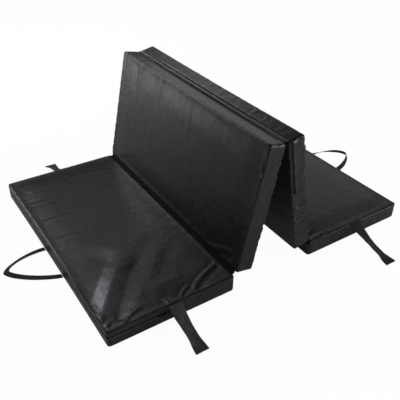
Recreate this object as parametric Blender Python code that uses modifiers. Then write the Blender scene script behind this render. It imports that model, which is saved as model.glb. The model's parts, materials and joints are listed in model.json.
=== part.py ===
# Folding exercise mat, standing half folded.
#
# Four foam panels, a to d from left to right, are joined edge to edge by three cloth folds.
# Panels a and d lie flat, and b and c stand between them as a narrow tent.
# X runs along the mat, Y along its folds and Z up.
# The origin is on the floor, under the middle of the tent.
import math

import bmesh
import bpy
from mathutils import Matrix, Vector

# Panels, in metres
PANEL_LENGTH = 0.490
PANEL_WIDTH = 1.000
PANEL_THICKNESS = 0.074
FOLD_GAP = 0.005
FOLD_RISE = 0.0006
TENT_ANGLE = 78.5

# Covers and what they hold
COVER_WALL = 0.0010
GAP = 0.0003
CORNER_RADIUS = 0.012
SEAM_RADIUS = 0.007
CROWN_DROP = 0.003
CROWN_BAND = 0.110
END_DRAW = 0.003
CORNER_STEPS = 4

# Zips
ZIP_LEVEL_END = 0.008
ZIP_LEVEL_MIDDLE = -0.021
ZIP_HEIGHT = 0.006
ZIP_THICKNESS = 0.0012
ZIP_PROUD = 0.0003
ZIP_START = 0.028
ZIP_STOP = 0.035
SLIDER_PARK = 0.040
SLIDER_LENGTH = 0.016
SLIDER_WIDTH = 0.009
SLIDER_PLATE = 0.0018
EAR_RADIUS = 0.0016
EAR_WIDTH = 0.0012
PULL_LENGTH = 0.022
PULL_WIDTH = 0.007
PULL_NECK = 0.003
PULL_THICKNESS = 0.0010

# Cloth strip over each fold
FOLD_STRIP_REACH = 0.030
FOLD_STRIP_THICKNESS = 0.0008
FOLD_STRIP_INSET = 0.012
FOLD_STRIP_BEND = 0.003

# Carry handles, of narrow webbing: where each loop is sewn and how it lies
HANDLE_SPREAD = 0.180
HANDLE_WIDTH = 0.022
HANDLE_THICKNESS = 0.002
HANDLE_SEAT = 30.0
HANDLE_SHAPE = 1.5
HANDLE_A = {
    "reach": 0.166,
    "shift": 0.018,
    "skew": -0.036,
    "rise": 0,
    "tilt": 0,
    "lean": 14.0,
    "twist": -12.0,
}
HANDLE_D = {
    "reach": 0.176,
    "shift": -0.012,
    "skew": -0.038,
    "rise": 0.028,
    "tilt": 0.030,
    "lean": 62.0,
    "twist": 0,
}

# Side straps, of wide webbing, with a hook or loop pad on each
STRAP_A_LENGTH = 0.180
STRAP_D_LENGTH = 0.210
STRAP_WIDTH = 0.050
STRAP_THICKNESS = 0.002
STRAP_SAG = 0.014
STRAP_SEAT = 20.0
PAD_WIDTH = 0.040
PAD_THICKNESS = 0.0012
PAD_START = 0.36
PAD_END = 0.96
ROOT_ROUND = 0.0009

# Sizes that follow from those above
HALF_LENGTH = PANEL_LENGTH / 2
HALF_WIDTH = PANEL_WIDTH / 2
HALF_THICKNESS = PANEL_THICKNESS / 2
PITCH = PANEL_LENGTH + FOLD_GAP
LAYER = PANEL_THICKNESS + 2 * FOLD_RISE
TILT = math.radians(TENT_ANGLE)
TENT_SPAN = 2 * (PITCH * math.cos(TILT) + LAYER * math.sin(TILT))
FOLD_HEIGHT = PANEL_THICKNESS + FOLD_RISE
EDGE_SCALE = 1 - CROWN_DROP / HALF_THICKNESS
WIDE_CUTS = [CROWN_BAND, 2 * CROWN_BAND, HALF_WIDTH - HANDLE_SPREAD / 2, HALF_WIDTH]
CUTS_ALONG = [0.030, 0.055, 0.080, CROWN_BAND, 0.180]
CUTS_ACROSS = [ZIP_STOP, 0.060, 0.085, *WIDE_CUTS]
INNER_CUTS_ALONG = [0.055, CROWN_BAND]
INNER_CUTS_ACROSS = [ZIP_STOP, *WIDE_CUTS]

for old in list(bpy.data.objects):
    bpy.data.objects.remove(old, do_unlink=True)
for old in list(bpy.data.collections):
    bpy.data.collections.remove(old)

parts = bpy.data.collections.new("folding_exercise_mat")
cutters = bpy.data.collections.new("cutters")
bpy.context.scene.collection.children.link(parts)
bpy.context.scene.collection.children.link(cutters)


# Materials and small helpers


def make_material(name, colour, roughness, metallic=0.0):
    material = bpy.data.materials.new(name)
    material.use_nodes = True
    shader = material.node_tree.nodes["Principled BSDF"]
    shader.inputs["Base Color"].default_value = (*colour, 1.0)
    shader.inputs["Roughness"].default_value = roughness
    shader.inputs["Metallic"].default_value = metallic
    return material


def make_empty(name, parent=None, place=(0, 0, 0), turn=(0, 0, 0)):
    empty = bpy.data.objects.new(name, None)
    empty.empty_display_size = 0.05
    empty.location = place
    empty.rotation_euler = turn
    empty.parent = parent
    parts.objects.link(empty)
    return empty


def make_object(name, bm, parent, look, smooth=True):
    mesh = bpy.data.meshes.new(name)
    bmesh.ops.recalc_face_normals(bm, faces=bm.faces)
    bm.to_mesh(mesh)
    bm.free()
    if smooth:
        mesh.shade_smooth()
        mesh.set_sharp_from_angle(angle=math.radians(40))
    obj = bpy.data.objects.new(name, mesh)
    obj.parent = parent
    if look is None:
        cutters.objects.link(obj)
        obj.hide_render = True
        obj.display_type = "WIRE"
    else:
        colour, roughness, metallic = look
        mesh.materials.append(make_material(name, colour, roughness, metallic))
        parts.objects.link(obj)
    return obj


def thicken(obj, thickness):
    solidify = obj.modifiers.new("thickness", "SOLIDIFY")
    solidify.thickness = thickness
    solidify.offset = 0
    solidify.use_even_offset = True


def combine(obj, other, operation):
    boolean = obj.modifiers.new(operation.lower(), "BOOLEAN")
    boolean.operation = operation
    boolean.solver = "EXACT"
    boolean.object = other


def make_strip(name, place, steps, parent, look, thickness, sewn_ends=()):
    """A cloth strip: place(u, v) gives its middle surface, u from 0 to 1 along and v from -1 to 1 across.

    Its sewn ends reach a little past their seam line and are rounded about it.
    """
    bm = bmesh.new()
    bmesh.ops.create_grid(bm, x_segments=steps, y_segments=1, size=1)
    roots = []
    for vert in bm.verts:
        u = (vert.co.x + 1) / 2
        v = vert.co.y
        vert.co = place(u, v)
        if round(u) in sewn_ends and abs(u - round(u)) < 0.5 / steps:
            step = (1 - 2 * round(u)) / steps
            vert.co -= (place(u + step, v) - vert.co).normalized() * ROOT_ROUND
            roots.append(vert.index)
    strip = make_object(name, bm, parent, look)
    thicken(strip, thickness)
    if roots:
        strip.vertex_groups.new(name="sewn_ends").add(roots, 1, "REPLACE")
        rounding = strip.modifiers.new("rounding", "BEVEL")
        rounding.limit_method = "VGROUP"
        rounding.vertex_group = "sewn_ends"
        rounding.width = ROOT_ROUND
        rounding.segments = 2
    return strip


def extrude_outline(points, depth):
    """A flat outline in X and Z, made a plate of this depth, centred along Y."""
    bm = bmesh.new()
    face = bm.faces.new([bm.verts.new((x, -depth / 2, z)) for x, z in points])
    pushed = bmesh.ops.extrude_face_region(bm, geom=[face])
    raised = [item for item in pushed["geom"] if isinstance(item, bmesh.types.BMVert)]
    bmesh.ops.translate(bm, verts=raised, vec=(0, depth, 0))
    return bm


def arc(centre, radius, start, end, steps):
    """Points on an arc, from one angle in degrees to another."""
    turns = [math.radians(start + (end - start) * i / steps) for i in range(steps + 1)]
    return [(centre[0] + radius * math.cos(t), centre[1] + radius * math.sin(t)) for t in turns]


# Panel form: a slab with a crown on both faces and ends that pull in between their corners


def ease(u):
    u = min(max(u, 0.0), 1.0)
    return u * u * (3 - 2 * u)


def crown_scale(x, y):
    """Share of the full thickness at this point of the panel."""
    lift = ease((HALF_LENGTH - abs(x)) / CROWN_BAND) * ease((HALF_WIDTH - abs(y)) / CROWN_BAND)
    return 1 - (1 - EDGE_SCALE) * (1 - lift)


def end_draw(y):
    """How far an end pulls in here."""
    return END_DRAW * (1 - min(abs(y) / HALF_WIDTH, 1.0) ** 2)


def draw_in(x, y):
    return x - math.copysign(end_draw(y) * (abs(x) / HALF_LENGTH) ** 4, x)


def panel_form(inset, along, across):
    """The panel's form, taken in by this inset, with cuts at these distances from its ends and sides."""
    size = (PANEL_LENGTH - 2 * inset, PANEL_WIDTH - 2 * inset, PANEL_THICKNESS - 2 * inset)
    bm = bmesh.new()
    bmesh.ops.create_cube(bm, size=1, matrix=Matrix.Diagonal((*size, 1)))
    upright = [e for e in bm.edges if abs(e.verts[0].co.z - e.verts[1].co.z) > inset]
    bmesh.ops.bevel(
        bm,
        geom=upright,
        offset=CORNER_RADIUS - inset,
        segments=CORNER_STEPS,
        profile=0.5,
        affect="EDGES",
    )
    rims = [e for e in bm.edges if abs(e.verts[0].co.z - e.verts[1].co.z) < size[2] / 2]
    bmesh.ops.bevel(
        bm, geom=rims, offset=SEAM_RADIUS - inset, segments=2, profile=0.5, affect="EDGES"
    )
    for axis, half, cuts in ((0, HALF_LENGTH, along), (1, HALF_WIDTH, across)):
        normal = Vector((0, 0, 0))
        normal[axis] = 1
        for cut in sorted({side * (half - cut) for cut in cuts for side in (-1, 1)}):
            geometry = bm.verts[:] + bm.edges[:] + bm.faces[:]
            bmesh.ops.bisect_plane(
                bm, geom=geometry, dist=1e-6, plane_co=normal * cut, plane_no=normal
            )
    bmesh.ops.triangulate(bm, faces=bm.faces, quad_method="FIXED")
    for vert in bm.verts:
        x, y, z = vert.co
        vert.co = (draw_in(x, y), y, z * crown_scale(x, y))
    return bm


def seam_seat(face, angle, half):
    """Distance out and height of a strip's root, seated on the rounded seam at this angle."""
    turn = math.radians(angle)
    stand = half + GAP
    out = face - SEAM_RADIUS + (SEAM_RADIUS + stand) * math.cos(turn)
    height = EDGE_SCALE * (HALF_THICKNESS - SEAM_RADIUS)
    return out, height + (EDGE_SCALE * SEAM_RADIUS + stand) * math.sin(turn)


# Zip: half of one side, round the corner and along one end


def zip_path(depth, room):
    """Points of the zip's line in the wall, this far inside its outer face, with room past its ends."""
    side = HALF_WIDTH - depth
    end = HALF_LENGTH - depth
    centre = (HALF_LENGTH - CORNER_RADIUS, HALF_WIDTH - CORNER_RADIUS)
    points = [(ZIP_START - room, side)]
    points += arc(centre, CORNER_RADIUS - depth, 90, 0, CORNER_STEPS)
    points += [(end, HALF_WIDTH - cut) for cut in CUTS_ACROSS]
    points += [(end, cut - HALF_WIDTH) for cut in CUTS_ACROSS[-2:0:-1]]
    points += [(end, ZIP_STOP - room - HALF_WIDTH)]
    return [(draw_in(x, y), y) for x, y in points]


def zip_strip(name, level, depth, height, thickness, room, parent, look):
    points = zip_path(depth, room)

    def place(u, v):
        x, y = points[round(u * (len(points) - 1))]
        return Vector((x, y, level + v * height / 2))

    return make_strip(name, place, len(points) - 1, parent, look, thickness)


def zip_slider(letter, parent):
    """Slider plate with two ears, in the frame of its own empty: X along the zip, Y out of the panel."""
    base = ZIP_PROUD + GAP
    top = base + SLIDER_PLATE
    ear = top + GAP + PULL_THICKNESS
    half = SLIDER_LENGTH / 2
    chamfer = SLIDER_PLATE / 2
    outline = [(-half, base), (half, base), (half, top - chamfer), (half - chamfer, top)]
    outline += [(EAR_RADIUS, top)]
    outline += arc((0, ear), EAR_RADIUS, 0, 180, 6)
    outline += [(-EAR_RADIUS, top), (-half + chamfer, top), (-half, top - chamfer)]
    bm = extrude_outline(outline, SLIDER_WIDTH)
    bmesh.ops.rotate(bm, verts=bm.verts, matrix=Matrix.Rotation(-math.pi / 2, 3, "X"))
    bmesh.ops.scale(bm, verts=bm.verts, vec=(1, 1, -1))
    slider = make_object(f"zip_slider_{letter}", bm, parent, METAL)

    slots = []
    slot_height = ear + EAR_RADIUS - top
    ear_span = PULL_NECK / 2 + GAP
    for low, high in ((-ear_span, ear_span), (ear_span + EAR_WIDTH, SLIDER_WIDTH)):
        for side in (1,) if low < 0 else (-1, 1):
            bm = bmesh.new()
            size = (4 * EAR_RADIUS, 2 * slot_height, high - low)
            bmesh.ops.create_cube(bm, size=1, matrix=Matrix.Diagonal((*size, 1)))
            middle = (0, top + slot_height, side * (low + high) / 2)
            bmesh.ops.translate(bm, verts=bm.verts, vec=middle)
            slots.append(make_object(f"slider_slot_{letter}_{len(slots)}", bm, parent, None, False))
    for slot in slots:
        combine(slider, slot, "DIFFERENCE")
    return ear


def zip_pull(letter, parent, side):
    """Pull tab, turning on its own empty: its neck starts between the ears."""
    neck = PULL_NECK / 2
    half = PULL_WIDTH / 2
    shoulder = 2 * EAR_RADIUS + GAP
    start = -PULL_THICKNESS / 2
    outline = [(start, -neck), (shoulder, -neck), (shoulder + half - neck, -half)]
    outline += arc((PULL_LENGTH - half, 0), half, -90, 90, 8)
    outline += [(shoulder + half - neck, half), (shoulder, neck), (start, neck)]
    bm = extrude_outline([(side * x, z) for x, z in outline], PULL_THICKNESS)
    make_object(f"zip_pull_{letter}", bm, parent, METAL)


# Whole pieces


def make_panel(letter, parent, level, pull_side):
    """Cover, foam and zip of one panel, whose empty is at its middle."""
    inner = (INNER_CUTS_ALONG, INNER_CUTS_ACROSS)
    shell = panel_form(0, CUTS_ALONG, CUTS_ACROSS)
    cover = make_object(f"cover_{letter}", shell, parent, COVER)
    pocket = make_object(f"pocket_{letter}", panel_form(COVER_WALL, *inner), parent, None)
    depth = COVER_WALL / 2
    name = f"zip_slot_{letter}"
    slot = zip_strip(name, level, depth, ZIP_HEIGHT, 4 * COVER_WALL, GAP, parent, None)
    combine(cover, pocket, "DIFFERENCE")
    combine(cover, slot, "DIFFERENCE")

    make_object(f"foam_core_{letter}", panel_form(COVER_WALL + GAP, *inner), parent, FOAM)

    depth = ZIP_THICKNESS / 2 - ZIP_PROUD
    height = ZIP_HEIGHT - 2 * GAP
    zip_strip(f"zip_chain_{letter}", level, depth, height, ZIP_THICKNESS, 0, parent, ZIP)

    runner = make_empty(f"zip_run_{letter}", parent, (SLIDER_PARK, HALF_WIDTH, level))
    ear = zip_slider(letter, runner)
    pivot = make_empty(f"pull_pivot_{letter}", runner, (0, ear, 0))
    zip_pull(letter, pivot, pull_side)


def fold_strip(name, parent, place, inward, turn):
    """Cloth across one fold, in the frame of the panel before it."""
    share = ease((FOLD_STRIP_REACH - FOLD_GAP / 2) / CROWN_BAND)
    depth = FOLD_RISE + CROWN_DROP * (1 - share) - GAP - FOLD_STRIP_THICKNESS / 2
    sides = []
    for along, angle in ((-1, 0.0), (1, turn)):
        spin = Matrix.Rotation(angle, 2)
        sides.append((spin @ Vector((along, 0)), spin @ Vector((0, inward))))
    (first, first_in), (second, second_in) = sides
    points = [
        first * FOLD_STRIP_REACH + first_in * depth,
        first * FOLD_STRIP_BEND + first_in * depth,
        (first_in + second_in).normalized() * depth,
        second * FOLD_STRIP_BEND + second_in * depth,
        second * FOLD_STRIP_REACH + second_in * depth,
    ]

    def strip_point(u, v):
        point = points[round(u * (len(points) - 1))]
        return Vector((point.x, v * (HALF_WIDTH - FOLD_STRIP_INSET), point.y))

    strip = make_strip(name, strip_point, len(points) - 1, parent, COVER, FOLD_STRIP_THICKNESS)
    strip.location = place


def handle_point(u, v, loop):
    """Webbing loop from root to root: flat at its roots and leaning, by degrees, round the end."""
    turn = math.pi * u
    spread = math.copysign(abs(math.cos(turn)) ** (2 / HANDLE_SHAPE), math.cos(turn))
    reach = math.sin(turn) ** (2 / HANDLE_SHAPE)
    share = ease(reach)
    lean = math.radians(loop["lean"] + loop["twist"] * spread) * share
    edge = HANDLE_WIDTH / 2
    end_height = edge * math.sin(math.radians(loop["lean"])) + HANDLE_THICKNESS / 2 + GAP
    height = (end_height - (HALF_THICKNESS - HANDLE_ROOT[1])) * share
    height += (loop["rise"] + loop["tilt"] * spread) * reach
    sideways = HANDLE_SPREAD / 2 * spread + loop["skew"] * reach
    middle = Vector((loop["reach"] * reach, sideways, height))
    outward = Vector((math.sin(turn), math.cos(turn), 0)).normalized()
    across = outward * math.cos(lean) - Vector((0, 0, 1)) * math.sin(lean)
    return middle + across * edge * v


HANDLE_ROOT = seam_seat(
    HALF_LENGTH - end_draw(HANDLE_SPREAD / 2), HANDLE_SEAT, HANDLE_THICKNESS / 2
)
STRAP_ROOT = seam_seat(HALF_WIDTH, STRAP_SEAT, STRAP_THICKNESS / 2)


def carry_handle(letter, parent, loop):
    place = (HANDLE_ROOT[0], loop["shift"], -HANDLE_ROOT[1])
    pivot = make_empty(f"handle_pivot_{letter}", parent, place)

    def loop_point(u, v):
        return handle_point(u, v, loop)

    name = f"carry_handle_{letter}"
    make_strip(name, loop_point, 36, pivot, WEBBING, HANDLE_THICKNESS, (0, 1))


def strap_curve(u, length, tip):
    """Middle line of a strap as it lies: distance out, height, and the direction square to it."""
    drop = HALF_THICKNESS + STRAP_ROOT[1] - tip
    run = math.sqrt(length**2 - drop**2)
    slope = Vector((run, -drop)).normalized()
    square = Vector((-slope.y, slope.x))
    point = slope * length * u - square * STRAP_SAG * 4 * u * (1 - u)
    heading = slope * length - square * STRAP_SAG * 4 * (1 - 2 * u)
    heading.normalize()
    return point, Vector((-heading.y, heading.x))


def side_strap(letter, side_name, side, length, parent, pad_name, pad_face):
    """Strap sewn to the top seam of one side, with its pad on the upper or the lower face."""
    place = (0, side * STRAP_ROOT[0], STRAP_ROOT[1])
    pivot = make_empty(f"strap_pivot_{letter}_{side_name}", parent, place)
    offset = pad_face * (STRAP_THICKNESS / 2 + GAP + PAD_THICKNESS / 2)
    tip = STRAP_THICKNESS / 2 + GAP
    if pad_face < 0:
        tip += GAP + PAD_THICKNESS

    def strap_point(u, v):
        point, _ = strap_curve(u, length, tip)
        return Vector((v * STRAP_WIDTH / 2, side * point.x, point.y))

    def pad_point(u, v):
        point, square = strap_curve(PAD_START + (PAD_END - PAD_START) * u, length, tip)
        point = point + square * offset
        return Vector((v * PAD_WIDTH / 2, side * point.x, point.y))

    name = f"side_strap_{letter}_{side_name}"
    make_strip(name, strap_point, 14, pivot, WEBBING, STRAP_THICKNESS, (0,))
    name = f"{pad_name}_{letter}_{side_name}"
    make_strip(name, pad_point, 9, pivot, PAD, PAD_THICKNESS)


COVER = ((0.022, 0.022, 0.024), 0.42, 0.0)
FOAM = ((0.45, 0.45, 0.44), 0.95, 0.0)
ZIP = ((0.010, 0.010, 0.011), 0.55, 0.0)
METAL = ((0.020, 0.020, 0.022), 0.35, 1.0)
WEBBING = ((0.009, 0.009, 0.010), 0.80, 0.0)
PAD = ((0.006, 0.006, 0.007), 0.95, 0.0)

# The chain of panels, each fold's empty on its fold line
HALF_TURN = (0, 0, math.pi)
mat = make_empty("mat")
panel_a = make_empty(
    "panel_a", mat, (-TENT_SPAN / 2 - PITCH / 2, 0, FOLD_HEIGHT - LAYER / 2), HALF_TURN
)
fold_ab = make_empty("fold_ab", mat, (-TENT_SPAN / 2, 0, FOLD_HEIGHT), (0, -TILT, 0))
panel_b = make_empty("panel_b", fold_ab, (PITCH / 2, 0, -LAYER / 2))
fold_bc = make_empty("fold_bc", fold_ab, (PITCH, 0, -LAYER), (0, 2 * TILT, 0))
panel_c = make_empty("panel_c", fold_bc, (PITCH / 2, 0, LAYER / 2), HALF_TURN)
fold_cd = make_empty("fold_cd", fold_bc, (PITCH, 0, LAYER), (0, -TILT, 0))
panel_d = make_empty("panel_d", fold_cd, (PITCH / 2, 0, -LAYER / 2))

make_panel("a", panel_a, ZIP_LEVEL_END, 1)
make_panel("b", panel_b, ZIP_LEVEL_MIDDLE, -1)
make_panel("c", panel_c, ZIP_LEVEL_MIDDLE, -1)
make_panel("d", panel_d, ZIP_LEVEL_END, 1)

fold_strip("fold_strip_ab", mat, fold_ab.location, -1, TILT)
fold_strip("fold_strip_bc", fold_ab, fold_bc.location, 1, -2 * TILT)
fold_strip("fold_strip_cd", fold_bc, fold_cd.location, -1, TILT)

# Panels a and c are turned round, so that the near side of a is its own +Y side
carry_handle("a", panel_a, HANDLE_A)
carry_handle("d", panel_d, HANDLE_D)
side_strap("a", "near", 1, STRAP_A_LENGTH, panel_a, "loop_pad", -1)
side_strap("a", "far", -1, STRAP_A_LENGTH, panel_a, "loop_pad", -1)
side_strap("d", "near", -1, STRAP_D_LENGTH, panel_d, "hook_pad", 1)
side_strap("d", "far", 1, STRAP_D_LENGTH, panel_d, "hook_pad", 1)
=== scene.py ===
# Folding exercise mat: black coated covers, foam, zips, webbing and side straps
import json
import math
import bmesh
import bpy
import numpy as np
from mathutils import Matrix, Vector, noise

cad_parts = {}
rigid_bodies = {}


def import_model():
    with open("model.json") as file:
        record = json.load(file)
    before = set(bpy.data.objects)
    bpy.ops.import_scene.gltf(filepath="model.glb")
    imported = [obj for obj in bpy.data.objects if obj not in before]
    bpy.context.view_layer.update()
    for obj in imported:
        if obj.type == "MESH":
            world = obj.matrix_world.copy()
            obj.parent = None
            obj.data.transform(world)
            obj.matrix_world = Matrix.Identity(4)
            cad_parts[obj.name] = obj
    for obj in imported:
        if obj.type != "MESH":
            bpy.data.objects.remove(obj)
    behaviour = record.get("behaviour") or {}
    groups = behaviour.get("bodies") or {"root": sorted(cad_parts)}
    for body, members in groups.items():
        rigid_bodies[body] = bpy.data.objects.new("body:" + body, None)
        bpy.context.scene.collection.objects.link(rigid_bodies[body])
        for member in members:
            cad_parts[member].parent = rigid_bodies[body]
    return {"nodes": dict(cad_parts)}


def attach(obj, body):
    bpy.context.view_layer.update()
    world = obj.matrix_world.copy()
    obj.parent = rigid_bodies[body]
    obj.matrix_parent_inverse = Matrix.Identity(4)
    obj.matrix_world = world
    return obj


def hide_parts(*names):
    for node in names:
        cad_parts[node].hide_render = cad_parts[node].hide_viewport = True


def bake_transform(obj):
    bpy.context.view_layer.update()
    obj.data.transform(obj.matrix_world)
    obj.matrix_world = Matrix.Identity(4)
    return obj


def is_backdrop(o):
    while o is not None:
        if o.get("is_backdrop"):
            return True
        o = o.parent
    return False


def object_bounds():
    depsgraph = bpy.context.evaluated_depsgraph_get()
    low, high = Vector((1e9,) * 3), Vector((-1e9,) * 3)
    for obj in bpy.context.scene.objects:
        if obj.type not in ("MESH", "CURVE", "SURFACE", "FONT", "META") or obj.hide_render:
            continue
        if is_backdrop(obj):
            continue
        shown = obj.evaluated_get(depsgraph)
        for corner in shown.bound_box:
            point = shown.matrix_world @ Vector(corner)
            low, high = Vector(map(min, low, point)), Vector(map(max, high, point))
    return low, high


for thing in list(bpy.data.objects):
    bpy.data.objects.remove(thing, do_unlink=True)
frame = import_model()
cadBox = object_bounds()
print("frame loaded:", len(frame["nodes"]), "nodes")

mat = {
    "length": 0.490,
    "width": 1.000,
    "thickness": 0.074,
    "foldGap": 0.005,
    "foldRise": 0.0006,
    "tentAngle": 78.5,
    "cornerRadius": 0.012,
    "seamRadius": 0.007,
    "crownDrop": 0.003,
    "crownBand": 0.110,
    "endDraw": 0.003,
}
halfLength = mat["length"] / 2
halfWidth = mat["width"] / 2
halfThick = mat["thickness"] / 2
pitch = mat["length"] + mat["foldGap"]
layer = mat["thickness"] + 2 * mat["foldRise"]
tilt = math.radians(mat["tentAngle"])
halfSpan = pitch * math.cos(tilt) + layer * math.sin(tilt)
foldHeight = mat["thickness"] + mat["foldRise"]
edgeScale = 1 - mat["crownDrop"] / halfThick


# where each panel stands, from its own flat frame

def shift(x, y, z):
    return Matrix.Translation((x, y, z))


def linkObject(name, data):
    thing = bpy.data.objects.new(name, data)
    bpy.context.scene.collection.objects.link(thing)
    return thing


halfTurn = Matrix.Rotation(math.pi, 4, "Z")
foldAB = shift(-halfSpan, 0, foldHeight) @ Matrix.Rotation(-tilt, 4, "Y")
foldBC = foldAB @ shift(pitch, 0, -layer) @ Matrix.Rotation(2 * tilt, 4, "Y")
foldCD = foldBC @ shift(pitch, 0, layer) @ Matrix.Rotation(-tilt, 4, "Y")
panelPlace = {
    "a": shift(-halfSpan - pitch / 2, 0, foldHeight - layer / 2) @ halfTurn,
    "b": foldAB @ shift(pitch / 2, 0, -layer / 2),
    "c": foldBC @ shift(pitch / 2, 0, layer / 2) @ halfTurn,
    "d": foldCD @ shift(pitch / 2, 0, -layer / 2),
}


# camera and stage

camera = linkObject("camera", bpy.data.cameras.new("camera"))
view = {"place": (-1.0642, -1.592, 1.351), "turn": -33.93, "tip": 55.54, "roll": 1.19, "lens": 48.555}
camera.data.lens = view["lens"]
camera.data.sensor_width = 36
camera.data.clip_end = 50
camera.matrix_world = (
    Matrix.Translation(view["place"])
    @ Matrix.Rotation(math.radians(view["turn"]), 4, "Z")
    @ Matrix.Rotation(math.radians(view["tip"]), 4, "X")
    @ Matrix.Rotation(math.radians(view["roll"]), 4, "Z")
)
bpy.context.scene.camera = camera
bpy.context.scene.view_settings.view_transform = "Standard"


def newMaterial(name):
    material = bpy.data.materials.new(name)
    material.use_nodes = True
    tree = material.node_tree
    tree.nodes.clear()
    return material, tree


def addNode(tree, kind, links=None, **values):
    node = tree.nodes.new("ShaderNode" + kind)
    for key, value in values.items():
        if key.startswith("in_"):
            slotKey = key[3:]
            slotKey = int(slotKey) if slotKey.isdigit() else slotKey.replace("_", " ")
            node.inputs[slotKey].default_value = value
        else:
            setattr(node, key, value)
    for target, source in (links or {}).items():
        tree.links.new(source, node.inputs[target])
    return node


def meshFrom(bm, name):
    mesh = bpy.data.meshes.new(name)
    bm.to_mesh(mesh)
    bm.free()
    return mesh


def floorMaterial():
    material, tree = newMaterial("paleFloor")
    toCamera = addNode(tree, "LightPath").outputs["Is Camera Ray"]
    matte = addNode(tree, "BsdfDiffuse", in_Color=(0.86, 0.86, 0.87, 1))
    glow = addNode(tree, "Emission", in_Color=(1, 1, 1, 1), in_Strength=stageSet["glowStrength"])
    seen = addNode(tree, "Math", {0: toCamera}, operation="MULTIPLY", in_1=stageSet["floorGlow"])
    mixed = addNode(tree, "MixShader", {0: seen.outputs[0], 1: matte.outputs[0], 2: glow.outputs[0]})
    addNode(tree, "OutputMaterial", {"Surface": mixed.outputs[0]})
    return material


stageSet = {
    "floorSize": 14.0,
    "floorDrop": 0.0004,
    "floorGlow": 0.90,
    "glowStrength": 1.07,
    "skyFill": 0.02,
}

bm = bmesh.new()
bmesh.ops.create_grid(bm, x_segments=4, y_segments=4, size=stageSet["floorSize"] / 2)
bmesh.ops.translate(bm, verts=bm.verts, vec=(0, 0, -stageSet["floorDrop"]))
floorMesh = meshFrom(bm, "floor")
floor = linkObject("floor", floorMesh)
floorMesh.materials.append(floorMaterial())
floor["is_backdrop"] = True

world = bpy.data.worlds.new("studio")
bpy.context.scene.world = world
world.use_nodes = True
worldTree = world.node_tree
worldTree.nodes.clear()
skyToCamera = addNode(worldTree, "LightPath").outputs["Is Camera Ray"]
seenSky = addNode(worldTree, "Background", in_Color=(1, 1, 1, 1), in_Strength=1.0)
litSky = addNode(worldTree, "Background", in_Color=(0.97, 0.98, 1, 1), in_Strength=stageSet["skyFill"])
skyMix = addNode(
    worldTree, "MixShader", {0: skyToCamera, 1: litSky.outputs[0], 2: seenSky.outputs[0]}
)
addNode(worldTree, "OutputWorld", {"Surface": skyMix.outputs[0]})

# place, aim, size, power and tint
lamps = {
    "nearLeft": ((-1.7, 2.4, 0.50), (0, 0, 0.35), 1.2, 6.0, (1, 0.98, 1)),
    "farLeft": ((-3.6, 4.0, 0.6), (0, 0, 0.35), 2.0, 19.5, (0.97, 0.95, 1)),
    "backTop": ((-0.3, 1.8, 3.2), (-0.2, 0, 0.1), 1.4, 10.8, (0.95, 0.93, 1)),
    "leftBack": ((-0.88, 3.3, 2.7), (-0.5, 0, 0.1), 1.0, 25.5, (0.95, 0.93, 1)),
    "highBack": ((0.8, 3.1, 2.6), (0, 0, 0.2), 1.6, 3.1, (0.97, 0.95, 1)),
    "rightBack": ((3.0, 2.6, 1.5), (0, 0, 0.2), 2.8, 11.8, (1, 0.95, 0.95)),
    "ridgeHigh": ((1.1, 1.9, 1.75), (0, 0, 0.5), 0.8, 1.4, (1, 0.97, 0.98)),
    "front": ((-0.6, -3.4, 1.6), (0, 0, 0.2), 2.0, 27.7, (0.97, 0.96, 1)),
    "rightFront": ((2.6, -2.4, 0.8), (0, -0.5, 0.2), 1.2, 33.0, (0.98, 0.97, 1)),
}
for name, (spot, aim, size, power, tint) in lamps.items():
    light = bpy.data.lights.new(name, "AREA")
    light.size = size
    light.energy = power
    light.color = tint
    lampObject = linkObject(name, light)
    lampObject.location = spot
    heading = Vector(aim) - Vector(spot)
    lampObject.rotation_euler = heading.to_track_quat("-Z", "Y").to_euler()
print("camera and stage set")


# materials

def finishSurface(tree, colour, roughness, normal, **sockets):
    shader = addNode(tree, "BsdfPrincipled")
    for target, source in (("Base Color", colour), ("Roughness", roughness), ("Normal", normal)):
        if isinstance(source, (tuple, float)):
            shader.inputs[target].default_value = source
        else:
            tree.links.new(source, shader.inputs[target])
    for key, value in sockets.items():
        shader.inputs[key.replace("_", " ")].default_value = value
    addNode(tree, "OutputMaterial", {"Surface": shader.outputs[0]})
    return shader


blackThread = (0.004, 0.004, 0.0045, 1)


def bumpNode(tree, height, strength, distance, normal=None):
    links = {"Height": height}
    if normal:
        links["Normal"] = normal
    node = addNode(tree, "Bump", links, in_Strength=strength, in_Distance=distance)
    return node.outputs[0]


def rampNode(tree, value, dark, pale, low=0.0, high=1.0):
    ramp = addNode(tree, "ValToRGB", {"Fac": value})
    for element, position, colour in zip(ramp.color_ramp.elements, (low, high), (dark, pale)):
        element.position = position
        element.color = colour
    return ramp.outputs[0]


def waveNode(tree, value, turns):
    scaled = addNode(tree, "Math", {0: value}, operation="MULTIPLY", in_1=turns * math.tau)
    return addNode(tree, "Math", {0: scaled.outputs[0]}, operation="SINE").outputs[0]


def mathNode(tree, operation, first, second):
    return addNode(tree, "Math", {0: first, 1: second}, operation=operation).outputs[0]


def rangeNode(tree, value, low, high, **values):
    node = addNode(tree, "MapRange", {"Value": value}, in_To_Min=low, in_To_Max=high, **values)
    return node.outputs[0]


def noiseNode(tree, place, scale, **values):
    # a scale of three numbers stretches the noise
    if isinstance(scale, tuple):
        mapping = addNode(tree, "Mapping", {"Vector": place}, in_Scale=scale)
        place, scale = mapping.outputs[0], 1.0
    node = addNode(tree, "TexNoise", {"Vector": place}, in_Scale=scale, **values)
    return node.outputs["Fac"]


def mixColour(tree, share, first, second):
    mix = addNode(tree, "Mix", {0: share}, data_type="RGBA")
    tree.links.new(first, mix.inputs[6])
    mix.inputs[7].default_value = second
    return mix.outputs[2]


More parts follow.
